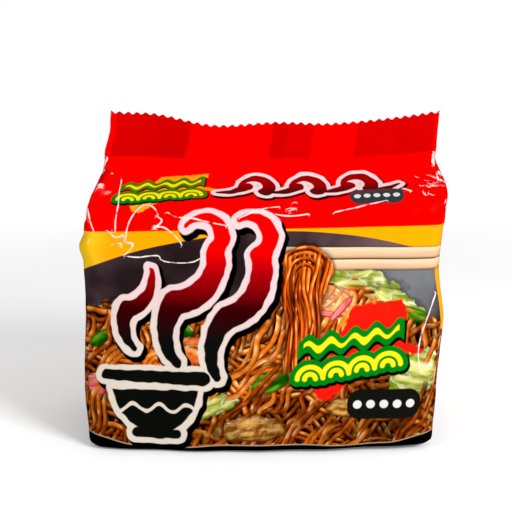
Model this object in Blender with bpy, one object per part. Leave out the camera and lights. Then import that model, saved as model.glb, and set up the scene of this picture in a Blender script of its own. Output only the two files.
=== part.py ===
"""A sealed film pack of five noodle portions, standing on its flat base.

One web of printed film wraps five pouches that stand side by side. The film is closed by a
crimped fin along the top, by a lapped seam down the back, and its sides are tucked inwards
under the fin as gussets. The pack can't be seen into, so it is one closed solid.

The frame: +Z is up, the front faces -Y, and the origin is under the middle of the pack's box.
"""

import math

import bmesh
import bpy

# Driving sizes, in metres.
HALF_WIDTH = 0.0965  # middle to the upright edge of a side, where the tables below don't change it
HALF_DEPTH = 0.0440  # middle to the upright edge of the front
WALL_TOP = 0.124  # where the front starts to turn over the portions
SEAL_FOOT = 0.157  # where the two films meet, at mid width
FIN_HEIGHT = 0.0200
FIN_HALF_THICKNESS = 0.0006
EDGE_ROUND = 0.008  # radius of the four upright edges
FOLD_ROUND = 0.002  # radius of the same edges above the wall, where the gussets fold in
FOLD_BELOW, FOLD_ABOVE = 0.012, 0.010  # that change of radius starts and ends so far from WALL_TOP
EDGE_SHARE = 0.8  # the most that an edge's radius takes of the half depth
BASE_ROUND = 0.007  # radius where the walls turn under the pack
BASE_SIDE_SHARE = 0.4  # the sides turn under more tightly than the front
PORTIONS = 5

# How far each wall swells past its upright edges.
FRONT_BELLY = 0.0060
BACK_BELLY = 0.0040
SIDE_BELLY = 0.0025
PORTION_SWELL = 0.0009
BELLY_BELOW_TOP = 0.020  # the bellies start to fade so far below WALL_TOP
BELLY_BELOW_SEAL = 0.004  # and are gone so far below SEAL_FOOT

# The shoulder's curve from the wall to the seal, as (half depth, height).
SHOULDER = ((HALF_DEPTH, WALL_TOP), (0.0455, 0.1440), (0.0060, 0.1390), (FIN_HALF_THICKNESS, SEAL_FOOT))

# Where the left and right edges stand, as (height, distance from the middle). The left one flares
# below the fin and has a fold beside the first portion; the right one is drawn in there.
LEFT_EDGE = (
    (0.000, 0.0984),
    (0.035, 0.1004),
    (0.083, 0.0982),
    (0.104, 0.0982),
    (0.113, 0.1008),
    (0.121, 0.0968),
    (0.138, 0.0946),
    (0.151, 0.0916),
    (0.158, 0.0906),
    (0.163, 0.0868),
    (0.184, 0.0856),
)
RIGHT_EDGE = (
    (0.000, 0.0934),
    (0.040, 0.0955),
    (0.072, 0.0975),
    (0.103, 0.0938),
    (0.124, 0.0958),
    (0.144, 0.0980),
    (0.152, 0.0962),
    (0.160, 0.0962),
    (0.184, 0.0982),
)

# How far the ends of each level rise above its middle, as (height, rise).
LEFT_RISE = ((0.074, 0.0), (0.136, 0.0015), (0.159, 0.0020), (0.178, 0.0075))
RIGHT_RISE = ((0.074, 0.0), (0.136, 0.0090), (0.159, 0.0048), (0.178, 0.0075))
RISE_POWER = 2.0

# The lapped seam down the back.
SEAM_LEFT, SEAM_RIGHT = 0.003, 0.0145
SEAM_THICKNESS = 0.0009
SEAM_STEP = 0.0004
SEAM_CLEAR = 0.002  # no other point of the back lies so close to the seam
TINY = 1e-6

# The crimped fin's cut edge, and the gussets under the fin.
TOOTH_PITCH = 0.005
TOOTH_DEPTH = 0.0014
GUSSET_FILM = 0.0009  # thickness left in the flaps beside a gusset
GUSSET_ROUND = 1.8  # 1 is a sharp valley, 2 a round one
GUSSET_START, GUSSET_END = 0.04, 0.90  # the shares of the shoulder's curve that it lies between
GUSSET_LIP = 0.006  # how far past the upright edge its cutter opens
GUSSET_REACH = 1.2  # how far out its cutter goes, in half widths
TEETH_HEADROOM, TEETH_HALF_LENGTH = 0.03, 0.02  # how far the teeth's cutter stands clear

# How finely the solid is faceted.
FRONT_STEPS = 30
SIDE_STEPS = 4
EDGE_STEPS = 3
WALL_ROWS = 11
BASE_ROWS = 3
SHOULDER_ROWS = 12
FIN_ROWS = 4
GUSSET_ROWS = 14
GUSSET_STEPS = 8
SHARP_ANGLE = 35  # degrees, from which an edge is shaded as sharp


def smooth(value, low, high):
    """0 up to low, 1 from high, and an S-curve between them."""
    share = min(max((value - low) / (high - low), 0.0), 1.0)
    return share * share * (3 - 2 * share)


def along(table, value):
    """The second number of a table of pairs, run smoothly between its rows."""
    found = table[0][1]
    for (low, before), (high, after) in zip(table, table[1:]):
        found += (after - before) * smooth(value, low, high)
    return found


def bezier(points, share):
    """A point on a cubic curve of four control points."""
    a, b, c, d = ((1 - share) ** 3, 3 * share * (1 - share) ** 2, 3 * share**2 * (1 - share), share**3)
    return tuple(a * p + b * q + c * r + d * s for p, q, r, s in zip(*points))


def placed(x, y, height):
    """Where a point of the plain, upright pack lies once its edges lean and its corners rise."""
    left, right = along(LEFT_EDGE, height), along(RIGHT_EDGE, height)
    across = min(max(x / HALF_WIDTH, -1.0), 1.0)
    rise = along(RIGHT_RISE if across > 0 else LEFT_RISE, height)
    real_x = (right - left) / 2 + x / HALF_WIDTH * (right + left) / 2
    return (real_x, y, height + rise * abs(across) ** RISE_POWER)


def swell(across, height, belly):
    """How far the front or back stands out: one broad belly, and a soft ridge for each portion."""
    fade = 1 - smooth(height, WALL_TOP - BELLY_BELOW_TOP, SEAL_FOOT - BELLY_BELOW_SEAL)
    ridge = 0.5 - 0.5 * math.cos(math.pi * PORTIONS * (across + 1))
    return fade * (belly * (1 - across * across) + PORTION_SWELL * ridge)


def back_steps(flat):
    """Where the back's points lie across, right to left, with both edges of the seam among them."""
    seam = (SEAM_RIGHT + SEAM_STEP, SEAM_RIGHT, SEAM_LEFT, SEAM_LEFT - SEAM_STEP)
    even = [flat * (1 - 2 * i / FRONT_STEPS) for i in range(FRONT_STEPS + 1)]
    clear = [x for x in even if not SEAM_LEFT - SEAM_CLEAR < x < SEAM_RIGHT + SEAM_CLEAR]
    return sorted([*clear, *seam], reverse=True)


def section(half_depth, height):
    """One turn round the pack: front, right side, back and left side."""
    under = HALF_DEPTH - half_depth if height < BASE_ROUND else 0.0
    half_width = HALF_WIDTH - BASE_SIDE_SHARE * under
    shrink = half_depth / HALF_DEPTH
    folded = smooth(height, WALL_TOP - FOLD_BELOW, WALL_TOP + FOLD_ABOVE)
    edge = min(EDGE_ROUND + (FOLD_ROUND - EDGE_ROUND) * folded, EDGE_SHARE * half_depth)
    flat_x, flat_y = half_width - edge, half_depth - edge
    points = []

    def add(x, y):
        points.append(placed(x, y, height))

    def add_edge(centre_x, centre_y, start):
        for i in range(1, EDGE_STEPS):
            angle = start + math.pi / 2 * i / EDGE_STEPS
            add(centre_x + edge * math.cos(angle), centre_y + edge * math.sin(angle))

    def add_side(sign):
        for i in range(SIDE_STEPS + 1):
            share = 2 * i / SIDE_STEPS - 1
            out = SIDE_BELLY * (1 - share * share) * min(shrink, 1.0) ** 2
            add(sign * (half_width + out), sign * share * flat_y)

    for i in range(FRONT_STEPS + 1):
        across = 2 * i / FRONT_STEPS - 1
        add(across * flat_x, -half_depth - swell(across, height, FRONT_BELLY))
    add_edge(flat_x, -flat_y, -math.pi / 2)
    add_side(1)
    add_edge(flat_x, flat_y, 0.0)
    for x in back_steps(flat_x):
        seam = SEAM_THICKNESS if SEAM_LEFT - TINY < x < SEAM_RIGHT + TINY else 0.0
        add(x, half_depth + swell(x / flat_x, height, BACK_BELLY) + seam)
    add_edge(-flat_x, flat_y, math.pi / 2)
    add_side(-1)
    add_edge(-flat_x, -flat_y, math.pi)
    return points


def profile():
    """(half depth, height) of each row, from the base to the fin's top."""
    rows = []
    for i in range(BASE_ROWS):
        angle = math.pi / 2 * i / BASE_ROWS
        rows.append((HALF_DEPTH - BASE_ROUND * (1 - math.sin(angle)), BASE_ROUND * (1 - math.cos(angle))))
    for i in range(WALL_ROWS):
        rows.append((HALF_DEPTH, BASE_ROUND + (WALL_TOP - BASE_ROUND) * i / WALL_ROWS))
    rows += [bezier(SHOULDER, i / SHOULDER_ROWS) for i in range(SHOULDER_ROWS + 1)]
    top = SEAL_FOOT + FIN_HEIGHT + TOOTH_DEPTH
    for i in range(1, FIN_ROWS + 1):
        rows.append((FIN_HALF_THICKNESS, SEAL_FOOT + (top - SEAL_FOOT) * i / FIN_ROWS))
    return rows


def loft(mesh_name, sections):
    """A closed mesh through sections with equal counts, capped at both ends."""
    shape = bmesh.new()
    rings = [[shape.verts.new(point) for point in ring] for ring in sections]
    count = len(rings[0])
    for lower, upper in zip(rings, rings[1:]):
        for i in range(count):
            j = (i + 1) % count
            shape.faces.new((lower[i], lower[j], upper[j], upper[i]))
    shape.faces.new(reversed(rings[0]))
    shape.faces.new(rings[-1])
    bmesh.ops.recalc_face_normals(shape, faces=shape.faces)
    mesh = bpy.data.meshes.new(mesh_name)
    shape.to_mesh(mesh)
    shape.free()
    return mesh


def gusset_sections(sign):
    """The space that one side's tuck leaves under the fin, as closed turns from its foot up."""
    turns = []
    reach = GUSSET_REACH * HALF_WIDTH
    for row in range(GUSSET_ROWS + 1):
        share = GUSSET_START + (GUSSET_END - GUSSET_START) * row / GUSSET_ROWS
        half_depth, height = bezier(SHOULDER, share)
        inward = math.sqrt(max(HALF_DEPTH**2 - min(half_depth, HALF_DEPTH) ** 2, 0.0))
        half_gap = half_depth - GUSSET_FILM
        turn = [placed(sign * reach, -sign * half_gap, height)]
        for i in range(-GUSSET_STEPS, GUSSET_STEPS + 1):
            across = i / GUSSET_STEPS
            x = HALF_WIDTH + GUSSET_LIP - (inward + GUSSET_LIP) * (1 - abs(across) ** GUSSET_ROUND)
            turn.append(placed(sign * x, sign * across * half_gap, height))
        turn.append(placed(sign * reach, sign * half_gap, height))
        turns.append(turn)
    return turns


def tooth_cutter():
    """A block over the fin whose underside is the zigzag of the cut edge."""
    height = SEAL_FOOT + FIN_HEIGHT
    half_teeth = math.ceil(HALF_WIDTH / TOOTH_PITCH) * 2 + 2
    outline = []
    for i in range(-half_teeth, half_teeth + 1):
        x, _, z = placed(i * TOOTH_PITCH / 2, 0.0, height)
        outline.append((x, z - TOOTH_DEPTH * (i % 2)))
    ceiling = height + TEETH_HEADROOM
    outline += [(outline[-1][0], ceiling), (outline[0][0], ceiling)]
    ends = (TEETH_HALF_LENGTH, -TEETH_HALF_LENGTH)
    return loft("teeth", [[(x, y, z) for x, z in outline] for y in ends])


def film_material():
    material = bpy.data.materials.new("printed_film")
    material.use_nodes = True
    shader = material.node_tree.nodes["Principled BSDF"]
    shader.inputs["Base Color"].default_value = (0.85, 0.01, 0.01, 1)
    shader.inputs["Roughness"].default_value = 0.3
    shader.inputs["Metallic"].default_value = 0.0
    return material


def cut(solid, mesh, cutters):
    """Takes a cutter's shape away from the solid."""
    cutter = bpy.data.objects.new(f"cutter_{mesh.name}", mesh)
    cutter.hide_render = True
    cutter.display_type = "WIRE"
    cutters.objects.link(cutter)
    step = solid.modifiers.new(mesh.name, "BOOLEAN")
    step.operation = "DIFFERENCE"
    step.object = cutter


def centre(meshes):
    """Moves the shapes so that the origin is under the middle of the first one's box."""
    points = [vertex.co for vertex in meshes[0].vertices]
    middle = [(min(p[axis] for p in points) + max(p[axis] for p in points)) / 2 for axis in (0, 1)]
    for mesh in meshes:
        for vertex in mesh.vertices:
            vertex.co.x -= middle[0]
            vertex.co.y -= middle[1]


def main():
    for old in list(bpy.data.objects):
        bpy.data.objects.remove(old)
    parts = bpy.data.collections.new("noodle_multipack")
    cutters = bpy.data.collections.new("cutters")
    for collection in (parts, cutters):
        bpy.context.scene.collection.children.link(collection)

    body = loft("film_pack", [section(*row) for row in profile()])
    sides = (("gusset_left", -1), ("gusset_right", 1))
    tools = [*(loft(name, gusset_sections(sign)) for name, sign in sides), tooth_cutter()]
    centre([body, *tools])

    pack = bpy.data.objects.new("film_pack", body)
    parts.objects.link(pack)
    body.materials.append(film_material())
    body.shade_smooth()
    body.set_sharp_from_angle(angle=math.radians(SHARP_ANGLE))
    for tool in tools:
        cut(pack, tool, cutters)


main()
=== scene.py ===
# %% [markdown]
# # A glossy film pack of instant noodles
#
# The pack is a bag of printed film round five upright portions. The frame gives the solid that
# the bag fills. Everything here is the look: the film with its folds and creases, its print, and
# a plain studio round it.

# %% Load the frame
import math
import random

import bmesh
import bpy
import numpy as np
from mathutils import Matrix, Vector, noise


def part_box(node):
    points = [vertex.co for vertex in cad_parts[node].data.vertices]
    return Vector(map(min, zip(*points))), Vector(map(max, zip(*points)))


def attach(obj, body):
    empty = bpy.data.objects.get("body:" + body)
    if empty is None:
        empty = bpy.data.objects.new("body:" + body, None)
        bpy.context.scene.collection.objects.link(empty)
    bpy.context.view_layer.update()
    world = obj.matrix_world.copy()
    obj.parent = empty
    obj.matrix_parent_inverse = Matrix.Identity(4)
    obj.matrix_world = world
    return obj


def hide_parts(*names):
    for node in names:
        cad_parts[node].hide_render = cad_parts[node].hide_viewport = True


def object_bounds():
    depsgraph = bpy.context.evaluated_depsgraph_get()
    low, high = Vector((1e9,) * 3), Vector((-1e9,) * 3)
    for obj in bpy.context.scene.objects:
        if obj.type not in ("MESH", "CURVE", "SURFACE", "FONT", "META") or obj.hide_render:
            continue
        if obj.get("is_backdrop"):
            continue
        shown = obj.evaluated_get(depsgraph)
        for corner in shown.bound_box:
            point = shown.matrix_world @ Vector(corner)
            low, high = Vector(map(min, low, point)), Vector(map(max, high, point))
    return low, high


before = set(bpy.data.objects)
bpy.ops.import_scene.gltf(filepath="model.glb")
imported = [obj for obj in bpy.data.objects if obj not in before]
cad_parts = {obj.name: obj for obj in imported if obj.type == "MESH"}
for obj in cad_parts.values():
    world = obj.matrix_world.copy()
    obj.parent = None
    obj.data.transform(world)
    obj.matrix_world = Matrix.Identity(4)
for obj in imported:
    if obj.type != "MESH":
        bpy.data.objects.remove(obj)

MM = 0.001
solid_low, solid_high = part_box("film_pack")
cad_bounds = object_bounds()
print("the solid measures", [round(side / MM, 1) for side in solid_high - solid_low], "mm")

# %% [markdown]
# ## Camera and studio
#
# The pack is seen from straight in front and a little above, from about half a metre, so its
# upright edges draw together slowly towards the base. The camera is placed by its height angle
# and its distance from one point that it looks at, because those are the numbers a photographer
# would name.

# %% Camera
CAMERA_RAISE = math.radians(12)
CAMERA_DISTANCE = 0.505
CAMERA_LENS = 61.2
LOOK_AT = Vector((-0.0036, 0.0, 0.101))

scene = bpy.context.scene
camera = bpy.data.objects.new("camera", bpy.data.cameras.new("camera"))
scene.collection.objects.link(camera)
camera.data.lens = CAMERA_LENS
camera.data.sensor_width = 36
step_back = Vector((0.0, -math.cos(CAMERA_RAISE), math.sin(CAMERA_RAISE))) * CAMERA_DISTANCE
camera.location = LOOK_AT + step_back
camera.rotation_euler = (-step_back).to_track_quat("-Z", "Y").to_euler()
scene.camera = camera
print("camera at", [round(value, 3) for value in camera.location])

# %% [markdown]
# Glossy film shows its lamps. Broad lamps stand well to the sides, where only folds and edges
# mirror them, so the flat print keeps its full colour, and one small lamp behind draws the thin
# bright lines along the creases.

# %% Lamps and surroundings


def softbox(name, place, size, power, aim=(0.0, 0.0, 0.09)):
    """A rectangular lamp that faces the pack."""
    lamp = bpy.data.lights.new(name, "AREA")
    lamp.shape = "RECTANGLE"
    lamp.size, lamp.size_y = size
    lamp.energy = power
    box = bpy.data.objects.new(name, lamp)
    box.location = place
    box.rotation_euler = (Vector(aim) - Vector(place)).to_track_quat("-Z", "Y").to_euler()
    scene.collection.objects.link(box)
    return box


softbox("right_softbox", (0.75, -0.75, 0.70), (0.36, 0.36), 13)
softbox("left_softbox", (-0.95, -0.60, 0.50), (0.35, 0.6), 2.5)
softbox("back_strip", (-0.05, 0.75, 0.75), (0.7, 0.12), 2).visible_diffuse = False

BLACK_LEVEL = 0.005  # linear light that the picture already shows as black
world = bpy.data.worlds.new("white_surroundings")
world.use_nodes = True
scene.world = world
scene.view_settings.view_transform = "Standard"
scene.view_settings.use_curve_mapping = True
scene.view_settings.curve_mapping.black_level = (BLACK_LEVEL,) * 3

# %% [markdown]
# The surroundings are white to the camera, dimmer as a source of light, and nearly dark in the
# film's reflections, as if black cards stood just outside the view. Without the cards a white
# veil would lie over the reds.

# %% White surroundings with black cards
SEEN, LIGHTING, MIRRORED = 1.0, 0.62, 0.04
world.cycles.sampling_method = "NONE"
sky = world.node_tree
ray = sky.nodes.new("ShaderNodeLightPath")
strength = sky.nodes["Background"].inputs["Strength"]
sky.nodes["Background"].inputs["Color"].default_value = (1, 1, 1, 1)


def choose(name, otherwise, chosen):
    """One number for rays of the named kind, and another for the rest."""
    made = sky.nodes.new("ShaderNodeMix")
    sky.links.new(ray.outputs[name], made.inputs["Factor"])
    for socket, value in ((made.inputs["A"], otherwise), (made.inputs["B"], chosen)):
        if hasattr(value, "default_value"):
            sky.links.new(value, socket)
        else:
            socket.default_value = value
    return made.outputs["Result"]


sky.links.new(choose("Is Camera Ray", choose("Is Glossy Ray", LIGHTING, MIRRORED), SEEN), strength)

# %% [markdown]
# The floor is a wide sheet that is solid under the pack and fades into the white surroundings
# farther out, so no horizon shows.

# %% Floor
floor_shape = bmesh.new()
bmesh.ops.create_grid(floor_shape, x_segments=1, y_segments=1, size=3.0)
floor_mesh = bpy.data.meshes.new("floor")
floor_shape.to_mesh(floor_mesh)
floor_shape.free()
floor = bpy.data.objects.new("floor", floor_mesh)
scene.collection.objects.link(floor)
floor_finish = bpy.data.materials.new("pale_floor")
floor_finish.use_nodes = True
floor_finish.cycles.emission_sampling = "NONE"
FADE_START, FADE_END = 0.30, 0.80


def finish_floor(tree):
    """Pale and matt near the pack, clear farther out, and dim in reflections."""
    paint = tree.nodes["Principled BSDF"]
    paint.inputs["Base Color"].default_value = (0.93, 0.93, 0.94, 1)
    paint.inputs["Roughness"].default_value = 0.9
    paint.inputs["Specular IOR Level"].default_value = 0.1
    paint.inputs["Emission Color"].default_value = (1, 1, 1, 1)
    paint.inputs["Emission Strength"].default_value = 0.10
    place = tree.nodes.new("ShaderNodeTexCoord")
    distance = tree.nodes.new("ShaderNodeVectorMath")
    distance.operation = "LENGTH"
    fade = tree.nodes.new("ShaderNodeMapRange")
    fade.interpolation_type = "SMOOTHSTEP"
    fade.inputs["From Min"].default_value = FADE_START
    fade.inputs["From Max"].default_value = FADE_END
    clear = tree.nodes.new("ShaderNodeBsdfTransparent")
    faded = tree.nodes.new("ShaderNodeMixShader")
    card = tree.nodes.new("ShaderNodeBsdfDiffuse")
    card.inputs["Color"].default_value = (0.04, 0.04, 0.04, 1)
    floor_ray = tree.nodes.new("ShaderNodeLightPath")
    shown = tree.nodes.new("ShaderNodeMixShader")
    for start, end in (
        (place.outputs["Object"], distance.inputs[0]),
        (distance.outputs["Value"], fade.inputs["Value"]),
        (fade.outputs["Result"], faded.inputs[0]),
        (paint.outputs[0], faded.inputs[1]),
        (clear.outputs[0], faded.inputs[2]),
        (floor_ray.outputs["Is Glossy Ray"], shown.inputs[0]),
        (faded.outputs[0], shown.inputs[1]),
        (card.outputs[0], shown.inputs[2]),
        (shown.outputs[0], tree.nodes["Material Output"].inputs["Surface"]),
    ):
        tree.links.new(start, end)


finish_floor(floor_finish.node_tree)
floor_mesh.materials.append(floor_finish)
floor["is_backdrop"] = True

# %% [markdown]
# ## The film's shape
#
# A bag like this is made from one flat web of film. A machine folds the web round the portions,
# laps it down the back, tucks its sides in as gussets and crimps its top into a fin. The piece is
# made in the same way: a flat grid, with one column of vertices for each line round the pack and
# one row for each line up it, is folded by a rule that says where a point of the web goes. The
# web's own two measures, across and up, then serve as the print's map, so that no print stretches
# over a fold.

# %% Driving sizes, in millimetres
HALF_WIDTH = 96.5
HALF_DEPTH = 44.0
WALL_TOP = 124.0
SEAL_FOOT = 157.0
FIN_HEIGHT = 20.0
FIN_HALF_THICKNESS = 0.4
EDGE_ROUND = 8.0
FOLD_ROUND = 1.2
BASE_ROUND = 5.0
BASE_SIDE_SHARE = 0.4
PORTIONS = 5
FRONT_BELLY, BACK_BELLY, SIDE_BELLY = 6.0, 4.0, 2.5
PORTION_SWELL = 0.9
SHOULDER = ((HALF_DEPTH, WALL_TOP), (45.5, 144.0), (6.0, 139.0), (FIN_HALF_THICKNESS, SEAL_FOOT))
LEFT_EDGE = (
    (0, 98.4), (35, 99.6), (83, 97.4), (104, 97.7), (113, 99.3), (121, 96.2),
    (138, 94.2), (151, 91.6), (158, 91.0), (171, 87.2), (184, 85.6),
)
RIGHT_EDGE = (
    (0, 93.4), (40, 94.6), (72, 96.5), (103, 92.9), (124, 95.2), (144, 96.8),
    (152, 96.4), (160, 97.0), (184, 98.2),
)
LEFT_RISE = ((74, 0.0), (136, 1.5), (159, 2.0), (178, 7.5))
RIGHT_RISE = ((74, 0.0), (136, 9.0), (159, 4.8), (178, 7.5))
FIN_WAVE = ((-1.0, 0.0), (-0.74, 1.9), (-0.37, -1.5), (0.02, 1.2), (0.35, -0.3), (1.0, 0.0))
FRONT_LIFT = ((-0.4, 0.3), (0.1, 1.1), (0.8, 2.0))
SEAM_LEFT, SEAM_RIGHT = 3.0, 14.5
SEAM_THICKNESS, SEAM_STEP = 0.6, 0.3
TEETH = 38
TOOTH_DEPTH = 1.4
GUSSET_ROUND = 1.8

# %% Rules that the fold uses


def smooth(value, low, high):
    """0 up to low, 1 from high, and an S-curve between them."""
    share = np.clip((value - low) / (high - low), 0.0, 1.0)
    return share * share * (3 - 2 * share)


def along(table, value):
    """The second number of a table of pairs, run smoothly between its rows."""
    found = table[0][1]
    for (low, before), (high, after) in zip(table, table[1:]):
        found = found + (after - before) * smooth(value, low, high)
    return found


def rise(x, height):
    """How far the pack's right and left ends stand above its middle at one level."""
    across = np.clip(x / HALF_WIDTH, -1.0, 1.0)
    ends = np.where(across > 0, along(RIGHT_RISE, height), along(LEFT_RISE, height)) * across**2
    return ends + along(FIN_WAVE, across) * smooth(height, SEAL_FOOT - 10, SEAL_FOOT + FIN_HEIGHT)


def placed(x, y, height):
    """Where a point of the plain, upright pack lies once its edges lean and its corners rise."""
    left, right = along(LEFT_EDGE, height), along(RIGHT_EDGE, height)
    real_x = (right - left) / 2 + x / HALF_WIDTH * (right + left) / 2
    return np.stack([real_x, y + 0 * real_x, height + rise(x, height)], axis=-1)


def swell(across, height, belly):
    """How far the front or back stands out: one broad belly, and a soft ridge for each portion."""
    fade = 1 - smooth(height, WALL_TOP - 20, SEAL_FOOT - 4)
    ridge = 0.5 - 0.5 * np.cos(math.pi * PORTIONS * (across + 1))
    return fade * (belly * (1 - across**2) + PORTION_SWELL * ridge)


def wall_run(share, half_side, edge):
    """Along a wall that ends in half a rounded edge each side: how far along it, and how far back."""
    flat = half_side - edge
    run = np.abs(share) * (flat + edge * math.pi / 4)
    angle = np.clip((run - flat) / edge, 0.0, math.pi / 4)
    return np.sign(share) * (np.minimum(run, flat) + edge * np.sin(angle)), edge * (1 - np.cos(angle))


# %% Rows: the film's path from the base to the cut edge
BASE_ROWS = 6
WALL_STEPS = ((BASE_ROUND, 40.0, 16), (40.0, 95.0, 44), (95.0, WALL_TOP, 42))
SHOULDER_ROWS = 88
FIN_ROWS = 15


def film_rows():
    """(half depth, height, film measure, distance in under the base) of each row."""
    rows = []
    for i in range(BASE_ROWS):
        angle = math.pi / 2 * i / BASE_ROWS
        back = BASE_ROUND * (1 - math.sin(angle))
        measure = BASE_ROUND * (1 + angle - math.pi / 2)
        rows.append((HALF_DEPTH - back, BASE_ROUND * (1 - math.cos(angle)), measure, back))
    for low, high, count in WALL_STEPS:
        heights = np.linspace(low, high, count, endpoint=False)
        rows += [(HALF_DEPTH, height, height, 0.0) for height in heights]
    share = np.linspace(0, 1, 20 * SHOULDER_ROWS + 1)[:, None]
    points = np.array(SHOULDER)
    curve = ((1 - share) ** 3 * points[0] + 3 * share * (1 - share) ** 2 * points[1]
             + 3 * share**2 * (1 - share) * points[2] + share**3 * points[3])
    run = np.concatenate([[0], np.cumsum(np.hypot(*np.diff(curve, axis=0).T))])
    for measure in np.linspace(0, run[-1], SHOULDER_ROWS + 1):
        depth, height = (np.interp(measure, run, curve[:, axis]) for axis in (0, 1))
        rows.append((depth, height, WALL_TOP + measure, 0.0))
    for up in np.linspace(0, FIN_HEIGHT, FIN_ROWS + 1)[1:]:
        rows.append((FIN_HALF_THICKNESS, SEAL_FOOT + up, WALL_TOP + run[-1] + up, 0.0))
    return np.array(rows), WALL_TOP + run[-1]


ROWS, SEAL_MEASURE = film_rows()
print(len(ROWS), "rows; the seal starts", round(SEAL_MEASURE, 1), "mm up the film")

# %% Columns: once round the pack, from the back seam to the back seam
FRONT_COLUMNS = 5 * TEETH
SIDE_COLUMNS = 26
BACK, LEFT, FRONT, RIGHT = range(4)
QUARTER = HALF_WIDTH + 2 * HALF_DEPTH


def film_columns():
    """(wall, share along it, film measure) of each column. A share runs along +X or +Y."""
    seam = np.array([SEAM_RIGHT + SEAM_STEP, SEAM_RIGHT, SEAM_LEFT, SEAM_LEFT - SEAM_STEP])
    across = np.unique(np.concatenate([np.linspace(-1, 1, FRONT_COLUMNS + 1), seam / HALF_WIDTH]))
    joint = SEAM_LEFT / HALF_WIDTH
    side = np.linspace(-1, 1, SIDE_COLUMNS + 1)
    columns = [
        (BACK, share, -QUARTER - (1 + share) * HALF_WIDTH)
        for share in across[across <= joint][::-1]
    ]
    columns += [(LEFT, share, -HALF_WIDTH - (1 + share) * HALF_DEPTH) for share in side[::-1][1:]]
    columns += [(FRONT, share, share * HALF_WIDTH) for share in across[1:]]
    columns += [(RIGHT, share, HALF_WIDTH + (1 + share) * HALF_DEPTH) for share in side[1:]]
    columns += [
        (BACK, share, QUARTER + (1 - share) * HALF_WIDTH)
        for share in across[across >= joint][::-1][1:]
    ]
    return np.array(columns)


COLUMNS = film_columns()
print(len(COLUMNS), "columns")

# %% Fold the web


def folded_web():
    """Where each point of the web lies, in millimetres, as rows by columns by 3."""
    half_depth, height, _, under = (ROWS[:, i, None] for i in range(4))
    wall, share = COLUMNS[None, :, 0], COLUMNS[None, :, 1]
    half_width = HALF_WIDTH - BASE_SIDE_SHARE * under
    edge = EDGE_ROUND + (FOLD_ROUND - EDGE_ROUND) * smooth(height, WALL_TOP - 12, WALL_TOP + 10)
    edge = np.minimum(edge, 0.8 * half_depth)
    facing = (wall == FRONT) | (wall == BACK)
    forward, offset = wall_run(share, np.where(facing, half_width, half_depth), edge)

    out_front = swell(share, height, FRONT_BELLY) - offset
    seam = (wall == BACK) & (forward > SEAM_LEFT - 1e-6) & (forward < SEAM_RIGHT + 1e-6)
    out_back = swell(share, height, BACK_BELLY) - offset + SEAM_THICKNESS * seam
    y = np.where(wall == FRONT, -half_depth - out_front, half_depth + out_back)

    shrink = np.minimum(half_depth / HALF_DEPTH, 1.0)
    inward = np.sqrt(np.maximum(HALF_DEPTH**2 - np.minimum(half_depth, HALF_DEPTH) ** 2, 0.0))
    inward = np.where((height > WALL_TOP) & (height < SEAL_FOOT), inward, 0.0)
    tuck = inward * (1 - np.abs(share) ** GUSSET_ROUND)
    out_side = SIDE_BELLY * (1 - share**2) * shrink**2 - offset - tuck
    side_x = np.where(wall == LEFT, -1, 1) * (half_width + out_side)

    cut_edge = height >= SEAL_FOOT + FIN_HEIGHT - 1e-6
    x = np.where(facing, forward, side_x)
    y = np.where(facing, y, forward)
    y = np.where(cut_edge, 0.0, y)
    x = np.where(cut_edge & ~facing, np.sign(side_x) * HALF_WIDTH, x)
    x = np.where(cut_edge & facing, share * HALF_WIDTH, x)
    points = placed(x, y, height + 0 * x)
    tooth = 0.5 - 0.5 * np.cos(2 * math.pi * (x / HALF_WIDTH + 1) / 2 * TEETH)
    points[..., 2] -= np.where(cut_edge, TOOTH_DEPTH * tooth, 0.0)
    lifted = along(FRONT_LIFT, points[..., 0] / HALF_WIDTH) * smooth(-points[..., 1], 0.0, HALF_DEPTH)
    points[..., 2] += lifted * (1 - smooth(height + 0 * x, 0.0, 16.0))
    return points


web = folded_web()
middle = (web.reshape(-1, 3).min(axis=0) + web.reshape(-1, 3).max(axis=0)) / 2
web[..., :2] -= middle[:2]
print("folded to", np.round(web.reshape(-1, 3).max(axis=0) - web.reshape(-1, 3).min(axis=0), 1), "mm")

# %% [markdown]
# The printer's lines run level round the pack, although its corners are pulled up towards the
# fin. So the print's own height is the film's measure plus that rise, and the two agree again
# where the shoulder ends.

# %% The print's height
RISE_ENDS = (150.0, SEAL_MEASURE)


def print_heights():
    """The height on the print of each point of the web."""
    wall, share = COLUMNS[None, :, 0], COLUMNS[None, :, 1]
    x = np.where(wall == LEFT, -1.0, np.where(wall == RIGHT, 1.0, share)) * HALF_WIDTH
    height, measure = ROWS[:, 1, None], ROWS[:, 2, None]
    return measure + rise(x, height) * (1 - smooth(measure, *RISE_ENDS))


UP = print_heights()
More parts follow.
